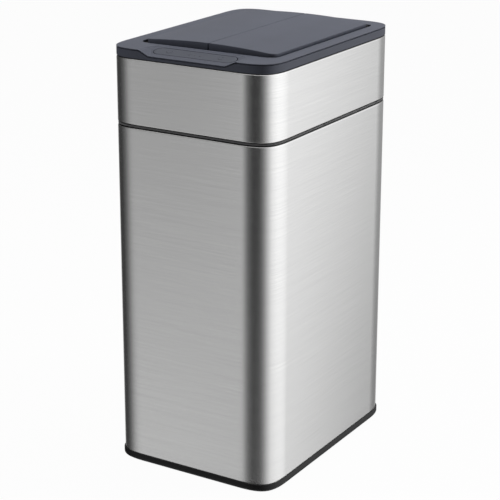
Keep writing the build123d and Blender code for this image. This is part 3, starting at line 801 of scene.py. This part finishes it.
def boss(name, x, y0, y1):
    """An upright block with a round top that carries the end of a door's shaft."""
    section = [(x - BEARING_R, DECK_Z[1]), (x + BEARING_R, DECK_Z[1])]
    for step in range(BEARING_STEPS + 1):
        angle = math.radians(180 / BEARING_STEPS * step)
        section.append((x + BEARING_R * math.cos(angle), PIVOT[1] + BEARING_R * math.sin(angle)))
    net = Net()
    near = net.loop([(u, y0, z) for u, z in section])
    far = net.loop([(u, y1, z) for u, z in section])
    net.bridge(near, far)
    net.faces.append(tuple(reversed(near)))
    net.faces.append(tuple(far))
    bevel(piece(name, net.verts, net.faces, "lid", "black_plastic"), BEARING_BEVEL)


# Sensor panel and buttons

def panel_top(x, y):
    return slope_height(y) - PANEL_SUNK


def make_panel():
    """The sensor panel with its button, lens and light openings."""
    middle = -HALF_D + PANEL_MIDDLE
    holes = [hole(circle(x, middle, BUTTON_R + BUTTON_GAP)) for x in (-BUTTON_X, BUTTON_X)]
    holes += [hole(circle(x, middle, LENS_R, 16)) for x in (-LENS_X, LENS_X)]
    holes += [hole(circle(0.0, middle, LIGHT_R, 12))]
    edges = [stadium()] + holes
    bottoms = [lambda x, y: panel_top(x, y) - PANEL_T + PANEL_FOOT] * len(edges)
    rounds = [PANEL_ROUND] + [BUTTON_HOLE_ROUND] * 2 + [LENS_HOLE_ROUND] * 3
    net = sheet_net(edges, panel_top, PANEL_SKIN, rounds, bottoms, PANEL_SPACING, PANEL_LIP)
    piece("panel_face", net.verts, net.faces, "lid", "panel_plastic", ["sensor_panel"], SHEET_SHARP)


def cap_top(x, y):
    return panel_top(x, y) + BUTTON_RISE


def make_buttons():
    middle = -HALF_D + PANEL_MIDDLE
    for x, name in ((-BUTTON_X, "open_button"), (BUTTON_X, "close_button")):
        edges = [circle(x, middle, BUTTON_R, 32)]
        bottoms = [lambda u, v: panel_top(u, v) - PANEL_T]
        net = sheet_net(edges, cap_top, BUTTON_SKIN, (BUTTON_ROUND,), bottoms, BUTTON_SPACING, BUTTON_LIP)
        piece(name + "_cap", net.verts, net.faces, name, "panel_plastic", [name], SHEET_SHARP)


# Doors

def crown(x, y):
    """The doors' upper surface: one arc from edge to edge of the pair."""
    rise = DOOR_SEAM_Z - DOOR_EDGE_Z
    radius = (DOOR[1] ** 2 + rise ** 2) / (2 * rise)
    return DOOR_SEAM_Z - radius + math.sqrt(radius ** 2 - x ** 2)


def make_doors():
    edges = [split_long(rounded_box(*DOOR, (SEAM_R, DOOR_FRONT_R, DOOR_R, SEAM_R)), DOOR_STEP)]
    bottoms = [lambda x, y: DOOR_WALL_BOTTOM]
    net = sheet_net(edges, crown, DOOR_T, (DOOR_ROUND,), bottoms, DOOR_SPACING, DOOR_LIP)
    for side, name in ((1, "right"), (-1, "left")):
        verts = [(side * x, y, z) for x, y, z in net.verts]
        replaced = [f"{name}_door_panel"]
        piece(f"{name}_door_top", verts, net.faces, f"{name}_door", "slate_plastic", replaced, SHEET_SHARP)


# Stage

FLOOR_SIZE = 30.0
FLOOR_PAINT = (0.75, 0.75, 0.75, 1)
FLOOR_GLOW = 0.97
WORLD_FILL = 0.12

# The reflection screen's radius and heights in metres. Its tones are given at degrees round the bin from
# the front towards +X, at the upper and the lower of two levels.
SCREEN_R = 5.0
SCREEN_Z = (-6.0, 5.5)
SCREEN_STEPS = 96
SCREEN_LEVELS = (-0.6, -2.2)
SCREEN_SPREAD = 0.4
DARKEST_TONE = 0.02
SCREEN_TONES = [
    (-180, 0.34, 0.45), (-150, 0.38, 0.50), (-118, 0.32, 0.42), (-108, 0.05, 0.06), (-75, 0.05, 0.05),
    (-60, 0.11, 0.13), (-52, 0.20, 0.26), (-45, 0.36, 0.44), (-38, 0.40, 0.60), (-33, 0.35, 0.55),
    (-30, 0.37, 0.50), (-28, 0.47, 0.53), (-26, 0.50, 0.54), (-23, 0.26, 0.30), (-18, 0.10, 0.13),
    (-6, 0.035, 0.06), (6, 0.04, 0.07), (18, 0.07, 0.09), (30, 0.15, 0.15), (42, 0.27, 0.25),
    (54, 0.42, 0.38), (66, 0.60, 0.52), (78, 0.78, 0.66), (92, 0.97, 0.80), (118, 1.16, 0.92),
    (135, 1.14, 0.96), (145, 1.04, 0.96), (148, 0.97, 0.87), (150, 0.90, 0.66), (152, 0.74, 0.40),
    (154, 0.55, 0.24), (160, 0.35, 0.22),
]


def stage_piece(name, verts, faces):
    """A mesh of the stage, in metres, and the empty node tree of its material."""
    mesh = bpy.data.meshes.new(name)
    mesh.from_pydata(verts, [], faces)
    made = bpy.data.objects.new(name, mesh)
    bpy.context.scene.collection.objects.link(made)
    material = bpy.data.materials.new(name)
    material.use_nodes = True
    material.node_tree.nodes.clear()
    mesh.materials.append(material)
    return made, material.node_tree


def calculate(tree, operation, first, second):
    """The result of a sum on two values, each a socket or a number."""
    made = node(tree, "ShaderNodeMath", operation=operation)
    for socket, value in zip(made.inputs, (first, second)):
        if isinstance(value, float):
            socket.default_value = value
        else:
            tree.links.new(value, socket)
    return made.outputs[0]


def map_range(tree, value, settings):
    """A value carried from one range to another, whose named ends are in settings."""
    made = node(tree, "ShaderNodeMapRange")
    for name, end in settings.items():
        made.inputs[name].default_value = end
    tree.links.new(value, made.inputs["Value"])
    return made.outputs[0]


def make_floor():
    """A plain pale floor that keeps a soft shadow and fades into the white background."""
    half = FLOOR_SIZE / 2
    corners = [(-half, -half, 0), (half, -half, 0), (half, half, 0), (-half, half, 0)]
    floor, tree = stage_piece("floor", corners, [(0, 1, 2, 3)])
    out = node(tree, "ShaderNodeOutputMaterial")
    mix = node(tree, "ShaderNodeMixShader")
    paint = node(tree, "ShaderNodeBsdfDiffuse")
    paint.inputs["Color"].default_value = FLOOR_PAINT
    glow = node(tree, "ShaderNodeEmission")
    glow.inputs["Strength"].default_value = 1.0
    path = node(tree, "ShaderNodeLightPath")
    share = calculate(tree, "MULTIPLY", path.outputs["Is Camera Ray"], FLOOR_GLOW)
    tree.links.new(share, mix.inputs[0])
    tree.links.new(paint.outputs[0], mix.inputs[1])
    tree.links.new(glow.outputs[0], mix.inputs[2])
    tree.links.new(mix.outputs[0], out.inputs["Surface"])
    floor.visible_glossy = False
    floor.visible_diffuse = False


def tone_ramp(tree, share, tones):
    """A grey band with a stop for each of the screen's directions."""
    ramp = node(tree, "ShaderNodeValToRGB")
    stops = ramp.color_ramp.elements
    while len(stops) < len(tones):
        stops.new(0.5)
    for stop, (degrees, tone) in zip(stops, tones):
        grey = max(tone, DARKEST_TONE)
        stop.position = (degrees + 180) / 360
        stop.color = (grey, grey, grey, 1)
    tree.links.new(share, ramp.inputs["Fac"])
    return ramp.outputs["Color"]


def paint_screen(tree):
    """Tones by direction round the bin, blended by height between and a little past the two levels."""
    upper_level, lower_level = SCREEN_LEVELS
    coords = node(tree, "ShaderNodeTexCoord")
    split = node(tree, "ShaderNodeSeparateXYZ")
    tree.links.new(coords.outputs["Object"], split.inputs[0])
    forward = calculate(tree, "MULTIPLY", split.outputs["Y"], -1.0)
    angle = calculate(tree, "ARCTAN2", split.outputs["X"], forward)
    share = map_range(tree, angle, {"From Min": -math.pi, "From Max": math.pi})
    rise = map_range(tree, split.outputs["Z"], {
        "From Min": lower_level - SCREEN_SPREAD, "From Max": upper_level + SCREEN_SPREAD,
    })
    reach = SCREEN_SPREAD / (upper_level - lower_level)
    low = [(degrees, lower - reach * (upper - lower)) for degrees, upper, lower in SCREEN_TONES]
    high = [(degrees, upper + reach * (upper - lower)) for degrees, upper, lower in SCREEN_TONES]
    blend = node(tree, "ShaderNodeMix", data_type="RGBA")
    tree.links.new(rise, blend.inputs["Factor"])
    tree.links.new(tone_ramp(tree, share, low), blend.inputs[6])
    tree.links.new(tone_ramp(tree, share, high), blend.inputs[7])
    glow = node(tree, "ShaderNodeEmission")
    tree.links.new(blend.outputs[2], glow.inputs["Color"])
    out = node(tree, "ShaderNodeOutputMaterial")
    tree.links.new(glow.outputs[0], out.inputs["Surface"])


def make_screen():
    """A wide screen round the bin, seen only in reflections: it gives the steel its light and dark bands."""
    verts = []
    for z in SCREEN_Z:
        for step in range(SCREEN_STEPS):
            angle = 2 * math.pi * step / SCREEN_STEPS
            verts.append((SCREEN_R * math.sin(angle), -SCREEN_R * math.cos(angle), z))
    faces = []
    for step in range(SCREEN_STEPS):
        nxt = (step + 1) % SCREEN_STEPS
        faces.append((step, nxt, SCREEN_STEPS + nxt, SCREEN_STEPS + step))
    screen, tree = stage_piece("reflection_screen", verts, faces)
    paint_screen(tree)
    screen.visible_camera = False
    screen.visible_diffuse = False
    screen.visible_shadow = False
    screen.visible_transmission = False
    screen.visible_volume_scatter = False


def make_world():
    """White for what looks at it, and a plain soft fill for what it lights."""
    world = bpy.data.worlds.new("world")
    bpy.context.scene.world = world
    world.use_nodes = True
    tree = world.node_tree
    tree.nodes.clear()
    out = node(tree, "ShaderNodeOutputWorld")
    background = node(tree, "ShaderNodeBackground")
    background.inputs["Color"].default_value = (1, 1, 1, 1)
    path = node(tree, "ShaderNodeLightPath")
    seen = path.outputs["Is Camera Ray"]
    for name in ("Is Glossy Ray", "Is Transmission Ray"):
        seen = calculate(tree, "MAXIMUM", seen, path.outputs[name])
    strength = map_range(tree, seen, {"To Min": WORLD_FILL, "To Max": 1.0})
    tree.links.new(strength, background.inputs["Strength"])
    tree.links.new(background.outputs[0], out.inputs["Surface"])


# Lamps: name, place, target, side in metres and power in watts
LAMPS = [
    ("top_softbox", (0.2, 0.5, 2.2), (0, 0, 0.6), 1.6, 21.0),
    ("right_softbox", (2.2, 1.1, 1.3), (0, 0, 0.45), 1.2, 22.0),
    ("left_softbox", (-1.6, -1.4, 1.3), (0, 0, 0.55), 0.8, 10.0),
]


def make_lamps():
    """Square softboxes that light the bin and stay out of its reflections."""
    for name, place, target, side, power in LAMPS:
        data = bpy.data.lights.new(name, "AREA")
        data.shape = "RECTANGLE"
        data.size = side
        data.size_y = side
        data.energy = power
        lamp = bpy.data.objects.new(name, data)
        bpy.context.scene.collection.objects.link(lamp)
        lamp.location = place
        lamp.rotation_mode = "QUATERNION"
        lamp.rotation_quaternion = (Vector(target) - Vector(place)).to_track_quat("-Z", "Y")
        lamp.visible_camera = False
        lamp.visible_glossy = False


# Camera fitted to the photograph: place in metres, direction in degrees, and focal length and middle in
# pixels of its square frame
PHOTO_SIZE = 500
SENSOR_WIDTH = 36.0
CAMERA_PLACE = (1.2447, -2.0508, 1.1083)
CAMERA_TURN = 31.442
CAMERA_DOWN = 17.607
CAMERA_ROLL = -0.067
CAMERA_FOCAL = 1629.2
CAMERA_MIDDLE = (250.0, 225.0)


def make_camera():
    data = bpy.data.cameras.new("camera")
    data.sensor_width = SENSOR_WIDTH
    data.lens = CAMERA_FOCAL / PHOTO_SIZE * SENSOR_WIDTH
    data.shift_x = (PHOTO_SIZE / 2 - CAMERA_MIDDLE[0]) / PHOTO_SIZE
    data.shift_y = (CAMERA_MIDDLE[1] - PHOTO_SIZE / 2) / PHOTO_SIZE
    camera = bpy.data.objects.new("camera", data)
    bpy.context.scene.collection.objects.link(camera)
    camera.location = CAMERA_PLACE
    camera.rotation_mode = "XYZ"
    camera.rotation_euler = (
        math.radians(90 - CAMERA_DOWN), math.radians(CAMERA_ROLL), math.radians(CAMERA_TURN),
    )
    bpy.context.scene.camera = camera


make_materials()
dress_cad()
make_shells()
make_base_ring()
make_rims()
make_cover()
make_door_well()
make_skirt()
make_deck()
make_panel()
make_buttons()
make_doors()
make_floor()
make_screen()
make_world()
make_lamps()
make_camera()
bpy.context.scene.view_settings.view_transform = "Standard"
